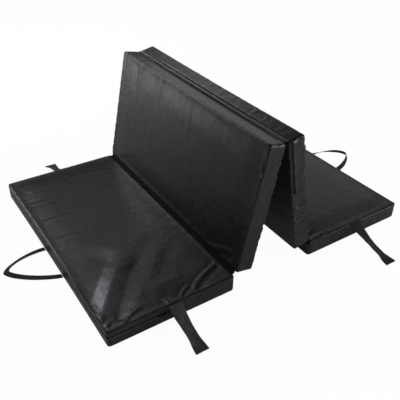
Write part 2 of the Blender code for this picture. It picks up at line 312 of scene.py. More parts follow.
def coatedCloth():
    look = {
        "dark": (0.0135, 0.013, 0.0148, 1),
        "pale": (0.0215, 0.021, 0.0235, 1),
        "seamPale": (0.05, 0.049, 0.051, 1),
        "paintedCreaseShade": (0.005, 0.005, 0.0055, 1),
        "rough": (0.22, 0.33),
        "roughCreased": 0.62,
        "gloss": (0.5, 0.05),
        "weave": 1150.0,
        "seamPaleReach": 0.006,
        "seamPaleShare": 0.22,
    }
    # strength and distance of each bump, from the weave up to the creases
    bumps = ((0.10, 0.00012), (0.07, 0.0010), (0.22, 0.0005), (0.07, 0.0030))
    material, tree = newMaterial("coatedCloth")
    place = addNode(tree, "Attribute", attribute_name="clothPlace").outputs["Vector"]
    seam = addNode(tree, "Attribute", attribute_name="seamGap").outputs["Fac"]
    # broad tone changes of the coating
    tone = noiseNode(tree, place, 7.0, in_Detail=5.0)
    colour = rampNode(tree, tone, look["dark"], look["pale"], 0.32, 0.72)
    # plain weave under the coating
    split = addNode(tree, "SeparateXYZ", {0: place})
    weave = [waveNode(tree, split.outputs[axis], look["weave"]) for axis in (0, 1, 2)]
    threads = mathNode(tree, "ADD", mathNode(tree, "MULTIPLY", weave[0], weave[1]), weave[2])
    # small creases, crumples and fine lines drawn along the panel
    crease = noiseNode(tree, place, (22, 34, 30), in_Detail=6.0, in_Roughness=0.55)
    crumple = noiseNode(tree, place, 95.0, in_Detail=4.0)
    drawn = noiseNode(tree, place, (14, 210, 120), in_Detail=4.0)
    roughMap = rangeNode(tree, crease, *look["rough"])
    # painted shade and matt: the colour is darkened and the cloth made matt where it is creased by the
    # folds
    shadeAndMatt = addNode(tree, "Attribute", attribute_name="creaseShadeAndMatt").outputs["Fac"]
    roughMix = addNode(tree, "Mix", {0: shadeAndMatt, 2: roughMap}, data_type="FLOAT")
    roughMix.inputs[3].default_value = look["roughCreased"]
    gloss = rangeNode(tree, shadeAndMatt, *look["gloss"])
    # paler colour along the seams
    seamPaleness = rangeNode(tree, seam, look["seamPaleShare"], 0.0, in_From_Min=0.0, in_From_Max=look["seamPaleReach"])
    colour = mixColour(tree, seamPaleness, colour, look["seamPale"])
    # painted shade: a darker colour in the creases
    colour = mixColour(tree, shadeAndMatt, colour, look["paintedCreaseShade"])
    normal = None
    for height, (strength, distance) in zip((threads, crumple, drawn, crease), bumps):
        normal = bumpNode(tree, height, strength, distance, normal)
    shader = finishSurface(
        tree, colour, roughMix.outputs[0], normal, Sheen_Weight=0.06, Sheen_Roughness=0.4
    )
    tree.links.new(gloss, shader.inputs["Specular IOR Level"])
    return material


# ribs along the webbing and yarns across it
webbingPitch = (0.0016, 0.0022)


def webbingCloth(name, dark, pale, roughness, sheen=0.15):
    material, tree = newMaterial(name)
    uv = addNode(tree, "UVMap", uv_map="along").outputs[0]
    split = addNode(tree, "SeparateXYZ", {0: uv})
    ribs = waveNode(tree, split.outputs[0], 1 / webbingPitch[0])
    yarns = waveNode(tree, split.outputs[1], 1 / webbingPitch[1])
    fibres = noiseNode(tree, uv, 420.0, in_Detail=4.0)
    height = mathNode(tree, "ADD", mathNode(tree, "MULTIPLY", ribs, yarns), fibres)
    bump = bumpNode(tree, height, 0.5, 0.0004)
    colour = rampNode(tree, noiseNode(tree, uv, 60.0, in_Detail=6.0), dark, pale, 0.3, 0.75)
    finishSurface(tree, colour, roughness, bump, Sheen_Weight=sheen, Sheen_Roughness=0.5)
    return material


def pileCloth(name, scale):
    material, tree = newMaterial(name)
    coords = addNode(tree, "TexCoord").outputs["Object"]
    pile = addNode(tree, "TexVoronoi", {"Vector": coords}, in_Scale=scale)
    tufts = noiseNode(tree, coords, scale * 0.6, in_Detail=5.0)
    bump = bumpNode(tree, mathNode(tree, "ADD", pile.outputs[0], tufts), 0.9, 0.0008)
    colour = rampNode(tree, tufts, blackThread, (0.014, 0.014, 0.015, 1))
    finishSurface(
        tree, colour, 0.95, bump, Specular_IOR_Level=0.3, Sheen_Weight=0.08, Sheen_Roughness=0.7
    )
    return material


def zipTape():
    material, tree = newMaterial("zipTape")
    coords = addNode(tree, "TexCoord").outputs["Object"]
    bump = bumpNode(tree, noiseNode(tree, coords, 900.0, in_Detail=3.0), 0.5, 0.0003)
    tone = noiseNode(tree, coords, 40.0)
    colour = rampNode(tree, tone, blackThread, (0.010, 0.010, 0.011, 1))
    finishSurface(tree, colour, 0.85, bump, Specular_IOR_Level=0.15)
    return material


def paintedMetal():
    material, tree = newMaterial("paintedMetal")
    coords = addNode(tree, "TexCoord").outputs["Object"]
    rub = noiseNode(tree, coords, 320.0, in_Detail=6.0)
    colour = rampNode(tree, rub, (0.018, 0.018, 0.020, 1), (0.075, 0.073, 0.070, 1), 0.45, 0.8)
    bump = bumpNode(tree, rub, 0.15, 0.0002)
    finishSurface(tree, colour, rangeNode(tree, rub, 0.22, 0.5), bump, Metallic=0.85)
    return material


def openFoam():
    material, tree = newMaterial("openFoam")
    coords = addNode(tree, "TexCoord").outputs["Object"]
    cells = addNode(tree, "TexVoronoi", {"Vector": coords}, in_Scale=900.0)
    bump = bumpNode(tree, cells.outputs[0], 0.6, 0.0006)
    tone = noiseNode(tree, coords, 14.0, in_Detail=4.0)
    colour = rampNode(tree, tone, (0.40, 0.40, 0.39, 1), (0.50, 0.50, 0.48, 1))
    finishSurface(tree, colour, 0.95, bump)
    return material


finish = {
    "cover": coatedCloth(),
    "handle": webbingCloth("handleWebbing", blackThread, (0.009, 0.009, 0.010, 1), 0.75),
    "strapSatin": webbingCloth("satinStrap", (0.018, 0.0175, 0.0195, 1), (0.034, 0.033, 0.037, 1), 0.40),
    "strapMatt": webbingCloth("mattStrap", blackThread, (0.013, 0.013, 0.014, 1), 0.8, sheen=0.04),
    "hook": pileCloth("hookTape", 1400.0),
    "loop": pileCloth("loopTape", 700.0),
    "zipTape": zipTape(),
    "metal": paintedMetal(),
    "foam": openFoam(),
}
print("materials ready:", len(finish))


# panel cushions

def smooth01(t):
    t = np.clip(t, 0.0, 1.0)
    return t * t * (3 - 2 * t)


def stations(half, edge, step):
    inner = half - edge[-1]
    count = max(1, round(2 * inner / step))
    middle = [-inner + 2 * inner * i / count for i in range(count + 1)]
    low = [-half + e for e in edge[:-1]]
    return low + middle + [-v for v in reversed(low)]


def edgesAlong(bm, axis, longer=0.5):
    return [edge for edge in bm.edges if abs((edge.verts[0].co - edge.verts[1].co)[axis]) > longer]


def cushionCage(xs, ys, zs):
    bm = bmesh.new()
    bmesh.ops.create_cube(bm, size=1)
    for axis, line in enumerate((xs, ys, zs)):
        edges = edgesAlong(bm, axis)
        bmesh.ops.subdivide_edges(bm, edges=edges, cuts=len(line) - 2, use_grid_fill=True)
    bmesh.ops.recalc_face_normals(bm, faces=bm.faces)
    for vert in bm.verts:
        shares = zip(vert.co, (xs, ys, zs))
        vert.co = [line[round((share + 0.5) * (len(line) - 1))] for share, line in shares]
    return bm


def roundSlab(place, inset):
    # square corners and rims pulled onto their arcs
    half = np.array([halfLength - inset, halfWidth - inset, halfThick - inset])
    corner = mat["cornerRadius"] - inset
    rim = mat["seamRadius"] - inset
    flat = np.abs(place[:, :2])
    sign = np.sign(place)
    over = np.maximum(flat - (half[:2] - corner), 0)
    inCorner = (over[:, 0] > 1e-9) & (over[:, 1] > 1e-9)
    reach = np.hypot(over[:, 0], over[:, 1])
    scale = np.where(inCorner, over.max(axis=1) / np.maximum(reach, 1e-12), 1.0)
    over = over * scale[:, None]
    flat = np.where(inCorner[:, None], half[:2] - corner + over, flat)
    reach = np.hypot(over[:, 0], over[:, 1])
    gapX = half[0] - flat[:, 0]
    gapY = half[1] - flat[:, 1]
    gap = np.where(inCorner, corner - reach, np.minimum(gapX, gapY))
    outX = np.where(inCorner, over[:, 0] / np.maximum(reach, 1e-12), (gapX <= gapY) * 1.0)
    outY = np.where(inCorner, over[:, 1] / np.maximum(reach, 1e-12), (gapX > gapY) * 1.0)
    side = np.maximum(rim - gap, 0)
    rise = np.maximum(np.abs(place[:, 2]) - (half[2] - rim), 0)
    onRim = (side > 1e-9) & (rise > 1e-9)
    pull = np.where(onRim, np.maximum(side, rise) / np.maximum(np.hypot(side, rise), 1e-12), 1.0)
    flat = flat - np.stack([outX, outY], axis=1) * (side * (1 - pull))[:, None]
    height = np.abs(place[:, 2]) - rise * (1 - pull)
    return np.concatenate([flat, height[:, None]], axis=1) * sign


def crownLift(x, y):
    lift = smooth01((halfLength - np.abs(x)) / mat["crownBand"])
    return lift * smooth01((halfWidth - np.abs(y)) / mat["crownBand"])


def crownAndDraw(place):
    x, y, z = place.T
    draw = mat["endDraw"] * (1 - np.minimum(np.abs(y) / halfWidth, 1) ** 2)
    pulled = x - np.sign(x) * draw * (np.abs(x) / halfLength) ** 4
    return np.stack([pulled, y, z * (1 - (1 - edgeScale) * (1 - crownLift(x, y)))], axis=1)


def readVectors(rows, key):
    flat = np.empty(len(rows) * 3)
    rows.foreach_get(key, flat)
    return flat.reshape(-1, 3)


def meshPoints(mesh):
    return readVectors(mesh.vertices, "co")


def setPoints(mesh, points):
    mesh.vertices.foreach_set("co", np.ascontiguousarray(points, dtype=float).ravel())
    mesh.update()


def meshNormals(mesh):
    return readVectors(mesh.vertex_normals, "vector")


def place(mesh, letter):
    mesh.transform(panelPlace[letter])
    mesh.update()


def linkPiece(name, mesh, material, body, letter=None):
    # a piece built in a panel's own frame goes to its place with the panel's letter
    if letter:
        place(mesh, letter)
    piece = linkObject(name, mesh)
    if not mesh.materials:
        mesh.materials.append(material)
    mesh.shade_smooth()
    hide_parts(name)
    if body:
        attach(piece, body)
    return piece


def applyModifiers(piece):
    bpy.context.view_layer.update()
    done = bpy.data.meshes.new_from_object(piece.evaluated_get(bpy.context.evaluated_depsgraph_get()))
    piece.modifiers.clear()
    piece.data = done
    return done


cushion = {
    "cell": 0.0095,
    "edge": (0.0, 0.0025, 0.0045, 0.007, 0.012, 0.019),
    "seamTop": 0.0042,
    "seamBottom": 0.0050,
    "seamDepth": 0.0012,
    "seamWidth": 0.0015,
    "sewnReach": 0.009,
    "sewnDepth": 0.013,
    "looseHold": 0.25,
    "nudge": 0.0008,
    "nudgeSize": (0.06, 0.06, 0.06),
    "simFrames": 20,
    "simGain": {"a": 0.10, "b": 0.09, "c": 0.16, "d": 0.06},
    "simLimit": 0.0010,
    "roomMiddle": 0.0005,
}
zipSet = {
    "start": 0.028,
    "stop": 0.035,
    "depth": 0.0013,
    "tape": 0.0054,
    "tapeThickness": 0.0006,
    "tapeCuts": 239,
    "pitch": 0.0015,
    "tooth": (0.0010, 0.0006, 0.0026),
    "toothStep": 0.0006,
    "toothBevel": 0.00018,
}
slotHalf = {"a": 0.0031, "b": 0.0031, "c": 0.0042, "d": 0.0031}
zipLevel = {"a": 0.008, "b": -0.021, "c": -0.021, "d": 0.008}


# rows of the cage up the walls, closer at the rims, the seams and the zip
rowSet = {
    "rim": (0, 0.0025, 0.007),
    "seam": (-0.0013, 0, 0.0013),
    "zip": (-0.0075, -0.0046, -0.0034, 0.0, 0.0034, 0.0046, 0.0075),
    "least": 0.0006,
    "most": 0.0085,
}


def levels(letter):
    rows = [sign * (halfThick - d) for sign in (-1, 1) for d in rowSet["rim"]]
    for seam in (halfThick - cushion["seamTop"], cushion["seamBottom"] - halfThick):
        rows += [seam + d for d in rowSet["seam"]]
    middle = zipLevel[letter] / edgeScale
    rows += [middle + d for d in rowSet["zip"]]
    rows.sort()
    rows = [row for row, after in zip(rows, rows[1:]) if after - row > rowSet["least"]] + [rows[-1]]
    filled = []
    for low, high in zip(rows, rows[1:]):
        parts = max(1, round((high - low) / rowSet["most"]))
        filled += [low + (high - low) * i / parts for i in range(parts)]
    return filled + [rows[-1]]


def makeCushion(letter):
    xs = stations(halfLength, cushion["edge"], cushion["cell"])
    ys = stations(halfWidth, cushion["edge"], cushion["cell"])
    mesh = meshFrom(cushionCage(xs, ys, levels(letter)), "cover_" + letter)
    square = meshPoints(mesh)
    base = crownAndDraw(roundSlab(square, 0.0))
    setPoints(mesh, base)
    return mesh, square, base


cages = {letter: makeCushion(letter) for letter in "abcd"}
print("cushion cages:", {letter: len(cage[0].vertices) for letter, cage in cages.items()})


def grain(points, size, seed):
    place = points / np.array(size) + seed
    return np.array([noise.noise(spot) for spot in place.tolist()])


def ridges(points, size, seed):
    return 1 - 3.2 * np.abs(grain(points, size, seed))


def evenOut(mesh, values, rounds):
    ends = np.empty(len(mesh.edges) * 2, dtype=np.int64)
    mesh.edges.foreach_get("vertices", ends)
    first, second = ends.reshape(-1, 2).T
    count = np.bincount(first, minlength=len(values)) + np.bincount(second, minlength=len(values))
    for _ in range(rounds):
        total = np.bincount(first, values[second], len(values))
        total += np.bincount(second, values[first], len(values))
        values = 0.5 * values + 0.5 * total / count
    return values


clothSet = {
    "quality": 4,
    "mass": 0.3,
    "tension_stiffness": 15,
    "compression_stiffness": 15,
    "shear_stiffness": 5,
    "bending_stiffness": 0.2,
    "air_damping": 3,
    "vertex_group_mass": "hold",
    "pin_stiffness": 1.0,
    "shrink_min": -0.03,
    "use_pressure": True,
    "uniform_pressure_force": 0.3,
}


def addCloth(piece, base):
    toEdge = np.minimum(halfLength - np.abs(base[:, 0]), halfWidth - np.abs(base[:, 1]))
    sewn = (toEdge < cushion["sewnReach"]) & (halfThick - np.abs(base[:, 2]) < cushion["sewnDepth"])
    hold = piece.vertex_groups.new(name="hold")
    for value, chosen in ((1.0, sewn), (cushion["looseHold"], ~sewn)):
        hold.add(np.nonzero(chosen)[0].tolist(), value, "REPLACE")
    cloth = piece.modifiers.new("cloth", "CLOTH")
    for key, value in clothSet.items():
        setattr(cloth.settings, key, value)
    cloth.settings.effector_weights.gravity = 0
    cloth.collision_settings.use_collision = False
    cloth.point_cache.frame_start = 1
    cloth.point_cache.frame_end = cushion["simFrames"]


slack = {}
trial = {}
for number, (letter, (mesh, square, base)) in enumerate(cages.items()):
    copy = mesh.copy()
    nudge = grain(base, cushion["nudgeSize"], 11.3 * number) * cushion["nudge"]
    setPoints(copy, base + meshNormals(mesh) * nudge[:, None])
    piece = linkObject("trial_" + letter, copy)
    addCloth(piece, base)
    trial[letter] = piece
for step in range(1, cushion["simFrames"] + 1):
    bpy.context.scene.frame_set(step)
graph = bpy.context.evaluated_depsgraph_get()
for letter, piece in trial.items():
    mesh, square, base = cages[letter]
    moved = meshPoints(piece.evaluated_get(graph).data) - base
    outward = (moved * meshNormals(mesh)).sum(axis=1)
    wrinkle = outward - evenOut(mesh, outward, 60)
    limit = cushion["simLimit"]
    slack[letter] = limit * np.tanh(wrinkle * cushion["simGain"][letter] / limit)
    print("cloth", letter, "moved up to", round(float(np.abs(outward).max()) * 1000, 1), "mm, wrinkles",
          round(float(wrinkle.std()) * 1000, 2), "mm")
for piece in trial.values():
    bpy.data.objects.remove(piece, do_unlink=True)
bpy.context.scene.frame_set(1)
print("cloth settled:", len(slack), "covers")

# creases seen in the photo, in millimetres: a line in the panel's own plan, the rise along it, the
# width, drop and reach of its left and right side, and last the shares over which its ends fade
foldLines = {
    "a": (
        (((242, 452), (230, 426), (170, 349), (88, 247), (7, 171)),
         0.8, (48, 7.2, 190), (50, 3.6, 110), (0.08, 0.20)),
        (((60, 400), (4, 340), (-63, 259), (-128, 194), (-160, 150)),
         0.4, (46, 2.4, 110), (34, 1.4, 85), (0.40, 0.50)),
        (((-84, 478), (-120, 451), (-169, 429), (-242, 400)),
         2.4, (9, 1.2, 30), (14, 1.8, 45), (0.10, 0.20)),
        (((-28, 485), (-63, 461), (-95, 449)), 1.8, (8, 0.8, 20), (8, 1.2, 20), (0.2, 0.4)),
        (((200, 488), (134, 459), (85, 456)), 2.2, (16, 0.8, 40), (14, 1.2, 34), (0.25, 0.4)),
        (((240, 478), (215, 458), (185, 452)), 1.8, (10, 1, 22), (10, 1.2, 22), (0.2, 0.5)),
        (((30, 462), (21, 470), (12, 492)), 2, (7, 1.4, 14), (7, 1.4, 14), (0.3, 0.2)),
        (((235, -153), (140, -150), (41, -138)), 0.4, (12, 0.7, 30), (12, 0.6, 30), (0.15, 0.6)),
        (((233, -293), (160, -286), (94, -273)), 0.4, (12, 0.7, 30), (12, 0.6, 30), (0.15, 0.6)),
        (((233, -20), (150, -12), (80, 10)), 0.4, (14, 0.7, 34), (14, 0.6, 34), (0.15, 0.6)),
    ),
    "b": (
        (((236, 336), (150, 331), (60, 327)), 0.6, (18, 1.2, 50), (20, 1.2, 50), (0.12, 0.6)),
        (((236, 173), (140, 163), (45, 150)), 0.5, (18, 1, 50), (20, 1, 50), (0.12, 0.6)),
        (((236, -48), (140, -60), (35, -74)), 0.4, (16, 0.8, 44), (18, 0.8, 44), (0.12, 0.6)),
        (((-240, -300), (-222, -365), (-197, -417), (-185, -486)),
         1.2, (14, 1, 40), (16, 1.2, 45), (0.25, 0.25)),
    ),
    "c": (
        (((238, 485), (200, 440), (130, 395)), 2, (12, 1.4, 32), (14, 1.4, 36), (0.2, 0.5)),
    ),
    "d": (
        (((-240, -486), (-215, -455), (-170, -430)), 2, (9, 1.2, 24), (10, 1.4, 28), (0.15, 0.5)),
        (((-236, -486), (-180, -480), (-100, -478)), 0.8, (8, 0.4, 20), (10, 0.6, 24), (0.15, 0.6)),
    ),
}
# folds of the side walls, in the panel's own length and height
wallFolds = {
    "a": (
        (((-43, 11), (-98, 33), (-201, 34)), 2.2, (10, 3, 20), (10, 3, 20), (0.2, 0.2)),
        (((-62, -12), (-140, 2), (-225, 14)), 2, (9, 2.8, 18), (9, 2.8, 18), (0.25, 0.25)),
        (((-100, -28), (-160, -18), (-220, -8)), 1.6, (8, 2.2, 16), (8, 2.2, 16), (0.25, 0.25)),
        (((215, 20), (160, 24), (90, 20)), 0.4, (8, 1.2, 15), (8, 1.2, 15), (0.3, 0.3)),
    ),
    "c": (
        (((-30, 34), (-50, 0), (-52, -34)), 2.6, (14, 3.2, 30), (16, 3.4, 34), (0.15, 0.15)),
        (((-80, 34), (-98, 0), (-112, -34)), 2.8, (14, 3.4, 28), (14, 3.4, 30), (0.15, 0.15)),
        (((-128, 34), (-136, 0), (-158, -34)), 2.6, (12, 3.2, 24), (12, 3.2, 24), (0.15, 0.15)),
        (((-178, 34), (-184, 0), (-190, -34)), 2.4, (12, 3, 24), (12, 3, 24), (0.15, 0.15)),
    ),
}
# the streaks come in between two places along the panel
clothLook = {
    "a": {"puckers": 0.35, "streak": 0.00016, "from": -0.05, "to": 0.22, "wall": 0.0012, "sink": 0.0012,
          "beads": 0.0006},
    "b": {"puckers": 0.40, "streak": 0.00042, "from": -0.16, "to": 0.20, "wall": 0.0016, "sink": 0.0010,
          "beads": 0.0048},
    "c": {"puckers": 0.55, "streak": 0.00045, "from": -0.12, "to": 0.16, "wall": 0.0020, "sink": 0.0008,
          "beads": 0.0048},
    "d": {"puckers": 0.30, "streak": 0.00012, "from": -0.05, "to": 0.20, "wall": 0.0011, "sink": 0.0010,
          "beads": 0.0006},
}
# the puckers along the rims, each a size, reach and rise
puckerBands = ((0.012, 0.014, 0.0005), (0.026, 0.040, 0.0007), (0.052, 0.110, 0.0010))
reliefSet = {
    "faceBand": 0.006,
    "sinkReach": 0.03,
    "rimReach": 0.012,
    "sideReach": 0.02,
    "foldReach": 0.008,
    "beadSize": (0.013, 0.013, 0.03),
    "patchSize": (0.11, 0.11, 0.11),
    "onWall": 1e-4,
    "calmFrom": 0.004,
    "calmReach": 0.008,
    "slotEdge": 0.0010,
    "lipGap": 0.0022,
    "lipWidth": 0.0014,
    "lipRise": (0.0005, 0.0001),
    "wallShare": (0.6, 0.15),
    "deepest": -0.0030,
    "room": 0.0028,
    "noSeam": 0.05,
    "floorGap": 0.0003,
}


def foldRise(x, y, fold):
    line, rise, left, right, fade = fold
    rise = rise / 1000
    best = np.full(len(x), 1e9)
    side = np.zeros(len(x))
    where = np.zeros(len(x))
    spots = [np.array(spot) / 1000 for spot in line]
    for i, (start, end) in enumerate(zip(spots, spots[1:])):
        run = end - start
        t = np.clip(((x - start[0]) * run[0] + (y - start[1]) * run[1]) / (run @ run), 0, 1)
        dx = x - start[0] - t * run[0]
        dy = y - start[1] - t * run[1]
        gap = np.hypot(dx, dy)
        near = gap < best
        best = np.where(near, gap, best)
        side = np.where(near, run[0] * dy - run[1] * dx, side)
        where = np.where(near, (i + t) / (len(spots) - 1), where)
    taper = smooth01(where / fade[0]) * smooth01((1 - where) / fade[1])
    gap = np.hypot(best, 0.002) - 0.002
    fall = np.zeros(len(x))
    for sign, sizes in ((1, left), (-1, right)):
        width, drop, back = np.array(sizes) / 1000
        down = rise - (rise + drop) * gap / width
        up = -drop * (1 - smooth01((gap - width) / (back - width)))
        fall = np.where(side * sign >= 0, np.where(gap < width, down, up), fall)
    return fall * taper


def relief(letter, spots, square):
    look = clothLook[letter]
    seed = 3.17 * (ord(letter) - 96)
    x, y, z = spots.T
    flatX, flatY, flatZ = square.T
    toEnd = halfLength - np.abs(flatX)
    toSide = halfWidth - np.abs(flatY)
    toRim = np.minimum(toEnd, toSide)
    toFace = halfThick - np.abs(flatZ)
    # face and walls of the panel, told apart by the slab before it was rounded
    onFace = smooth01((np.abs(flatZ) - (halfThick - mat["seamRadius"])) / reliefSet["faceBand"])
    out = -look["sink"] * onFace * smooth01(toRim / reliefSet["sinkReach"])
    atRim = smooth01(toRim / reliefSet["rimReach"])
    for size, reach, rise in puckerBands:
        ends = grain(spots, (size * 5, size, 0.05), seed)
        ends = ends - 0.4 * np.abs(grain(spots, (size * 7, size * 2, 0.05), seed + 3))
        sides = grain(spots, (size, size * 5, 0.05), seed + 5)
        out += onFace * rise * look["puckers"] * (
            ends * np.exp(-toEnd / reach) * smooth01(toSide / reliefSet["sideReach"])
            + sides * np.exp(-toSide / reach) * smooth01(toEnd / reliefSet["sideReach"])
        ) * (0.25 + 0.75 * atRim)
    # streaks along the panel, on b stronger towards the far side
    along = 1.5 * grain(spots, (0.17, 0.017, 0.08), seed + 9)
    along = along + 0.6 * ridges(spots, (0.26, 0.034, 0.08), seed + 14)
    farther = 0.35 + 0.95 * smooth01((y + 0.15) / 0.5) if letter == "b" else 1.0
    comeIn = 0.15 + 0.85 * smooth01((x - look["from"]) / (look["to"] - look["from"]))
    out += onFace * look["streak"] * farther * along * comeIn
    onTop = smooth01((flatZ - 0.02) / 0.012)
    for fold in foldLines[letter]:
        out += foldRise(x, y, fold) * onTop * smooth01(toRim / reliefSet["foldReach"])
    # small beads drawn up by the seam along the near and far rims
    rim = np.exp(-((toSide - 0.002) / 0.007) ** 2) * smooth01((toEnd - 0.01) / 0.03)
    rim = rim * np.exp(-((toFace - 0.002) / 0.006) ** 2)
    patch = smooth01(0.5 + 2.0 * grain(spots, reliefSet["patchSize"], seed + 26))
    beads = grain(spots, reliefSet["beadSize"], seed + 21)
    out += look["beads"] * rim * (0.2 + 0.8 * patch) * beads
    # the zip runs over half of one long side and along one end
    onWall = 1 - onFace
    outerSide = flatY > halfWidth - reliefSet["onWall"]
    outerEnd = flatX > halfLength - reliefSet["onWall"]
    bothSides = np.abs(flatY) > halfWidth - reliefSet["onWall"]
    run = (outerSide | outerEnd) * np.where(
        outerSide,
        smooth01((flatX - zipSet["start"] + 0.004) / 0.004),
        smooth01((flatY + halfWidth - zipSet["stop"] + 0.004) / 0.004),
    )
    fromZip = np.abs(z - zipLevel[letter])
    calm = 1 - run * (1 - smooth01((fromZip - reliefSet["calmFrom"]) / reliefSet["calmReach"]))
    # folds of the walls, which die out at the zip
    wall = ridges(spots, (0.034, 0.034, 0.055), seed + 30)
    wall = wall + 0.7 * ridges(spots, (0.012, 0.012, 0.035), seed + 33)
    midWall = smooth01((toFace - 0.006) / 0.009)
    out += midWall * look["wall"] * (wall - 1.1) * np.where(bothSides, *reliefSet["wallShare"]) * calm
    nearSide = flatY * (1 if letter in "ac" else -1) > halfWidth - reliefSet["onWall"]
    onNear = nearSide * smooth01(toEnd / 0.012)
    for fold in wallFolds.get(letter, ()):
        out += foldRise(x, z, fold) * onNear * smooth01(toFace / mat["seamRadius"]) * calm
    # on the ridge the slot of b is nearly shut and the slot of c gapes in the middle
    gape = smooth01((y + 0.40) / 0.12) * smooth01((0.38 - y) / 0.16)
    atEnd = {"b": 0.3, "c": 0.45 + 0.55 * gape}.get(letter, 1.0)
    slot = np.where(bothSides, 1.0, atEnd) * slotHalf[letter]
    inZip = run * (1 - smooth01((fromZip - slot) / reliefSet["slotEdge"]))
    lip = run * np.exp(-((fromZip - slot - reliefSet["lipGap"]) / reliefSet["lipWidth"]) ** 2)
    out += np.where(bothSides, *reliefSet["lipRise"]) * lip - zipSet["depth"] * inZip
    seamLine = np.minimum(
        np.abs(flatZ - halfThick + cushion["seamTop"]),
        np.abs(flatZ + halfThick - cushion["seamBottom"]),
    )
    sewn = np.exp(-((seamLine / cushion["seamWidth"]) ** 2))
    out -= onWall * cushion["seamDepth"] * sewn * (1 + 0.5 * grain(spots, (0.008, 0.008, 0.05), seed + 40))
    out = np.where(onWall > 0.5, np.maximum(out, reliefSet["deepest"]), out)
    # no fold stands higher than the room that the crown leaves
    room = cushion["roomMiddle"] + reliefSet["room"] * (1 - crownLift(x, y))
    out = np.where(out > room * 0.5, room * 0.5 + room * 0.5 * np.tanh((out / room - 0.5) * 2), out)
    return out, np.where(onWall > 0.5, seamLine, reliefSet["noSeam"])


def giveAttribute(mesh, name, values):
    kind, key = ("FLOAT_VECTOR", "vector") if values.ndim == 2 else ("FLOAT", "value")
    layer = mesh.attributes.new(name, kind, "POINT")
    layer.data.foreach_set(key, np.ascontiguousarray(values, dtype=np.float32).ravel())


# painted shade and matt: darker, matt bands at the hinge seam, and round the near and far rims of a and d
shadeBandSet = {"hinge": 0.005, "rim": 0.011, "rimShare": {"a": 0.6, "b": 0.0, "c": 0.0, "d": 0.6}}
for letter, (mesh, square, base) in cages.items():
    giveAttribute(mesh, "square", square)
    if letter in slack:
        setPoints(mesh, base + meshNormals(mesh) * slack[letter][:, None])
    cover = linkPiece("cover_" + letter, mesh, finish["cover"], "panel_" + letter)
    finer = cover.modifiers.new("finer", "SUBSURF")
    finer.levels = 1
    finer.render_levels = 1
    fine = applyModifiers(cover)
    spots = meshPoints(fine)
    fineSquare = readVectors(fine.attributes["square"].data, "vector")
    rise, seamGap = relief(letter, spots, fineSquare)
    shaped = spots + meshNormals(fine) * rise[:, None]
    if letter in "ad":
        # the underside stays just above the floor
        shaped[:, 2] = np.maximum(shaped[:, 2], -halfThick + reliefSet["floorGap"])
    setPoints(fine, shaped)
    giveAttribute(fine, "clothPlace", shaped)
    giveAttribute(fine, "seamGap", seamGap)
    # painted shade: the colour darkens towards the hinge and the rims
    hinge = smooth01(1 - (fineSquare[:, 0] + halfLength) / shadeBandSet["hinge"]) * (fineSquare[:, 2] > 0.02)
    toRim = np.hypot(halfWidth - np.abs(fineSquare[:, 1]), halfThick - fineSquare[:, 2])
    rimShadeAndMatt = shadeBandSet["rimShare"][letter] * smooth01(1 - toRim / shadeBandSet["rim"])
    giveAttribute(fine, "creaseShadeAndMatt", np.maximum(hinge, rimShadeAndMatt))
    fine.attributes.remove(fine.attributes["square"])
    place(fine, letter)
    print("cover", letter, "relief from", round(float(rise.min()) * 1000, 1), "to",
          round(float(rise.max()) * 1000, 1), "mm,", len(fine.polygons), "faces")


# foam inside each cover

foamSet = {"inset": 0.0045, "cell": 0.014, "edge": (0.0, 0.0015, 0.004, 0.016), "pressed": 1.2}
for letter in "abcd":
    reach = [half - foamSet["inset"] for half in (halfLength, halfWidth, halfThick)]
    lines = [stations(half, foamSet["edge"], foamSet["cell"]) for half in reach]
    foamMesh = meshFrom(cushionCage(*lines), "foam_core_" + letter)
    spots = crownAndDraw(roundSlab(meshPoints(foamMesh), foamSet["inset"]))
    # the foam gives way under the creases of its cover
    pressed = sum(foldRise(spots[:, 0], spots[:, 1], fold) for fold in foldLines[letter])
    spots[:, 2] += np.where(spots[:, 2] > 0.02, np.minimum(pressed, 0) * foamSet["pressed"], 0)
    setPoints(foamMesh, spots)
    foam = linkPiece("foam_core_" + letter, foamMesh, finish["foam"], "panel_" + letter, letter)
print("foam slabs placed")


# zips

def zipSpot(along, inside):
    radius = mat["cornerRadius"]
    straight = halfLength - radius - zipSet["start"]
    bend = radius * math.pi / 2
    if along < straight:
        x, y, out = zipSet["start"] + along, halfWidth, (0.0, 1.0)
    elif along < straight + bend:
        turn = (along - straight) / radius
        out = (math.sin(turn), math.cos(turn))
        x = halfLength - radius + radius * out[0]
        y = halfWidth - radius + radius * out[1]
    else:
        x, y, out = halfLength, halfWidth - radius - (along - straight - bend), (1.0, 0.0)
    drawn = mat["endDraw"] * (1 - min(abs(y) / halfWidth, 1) ** 2) * (abs(x) / halfLength) ** 4
    return x - drawn - out[0] * inside, y - out[1] * inside


zipLength = (halfLength - mat["cornerRadius"] - zipSet["start"]) + mat["cornerRadius"] * math.pi / 2
zipLength += mat["width"] - mat["cornerRadius"] - zipSet["stop"]


def box(bm, middle, size):
    bmesh.ops.create_cube(bm, size=1, matrix=Matrix.Translation(middle) @ Matrix.Diagonal((*size, 1)))


def bevelEdges(bm, edges, offset, segments):
    bmesh.ops.bevel(
        bm, geom=edges, offset=offset, segments=segments, affect="EDGES", profile=0.5, material=-1
    )


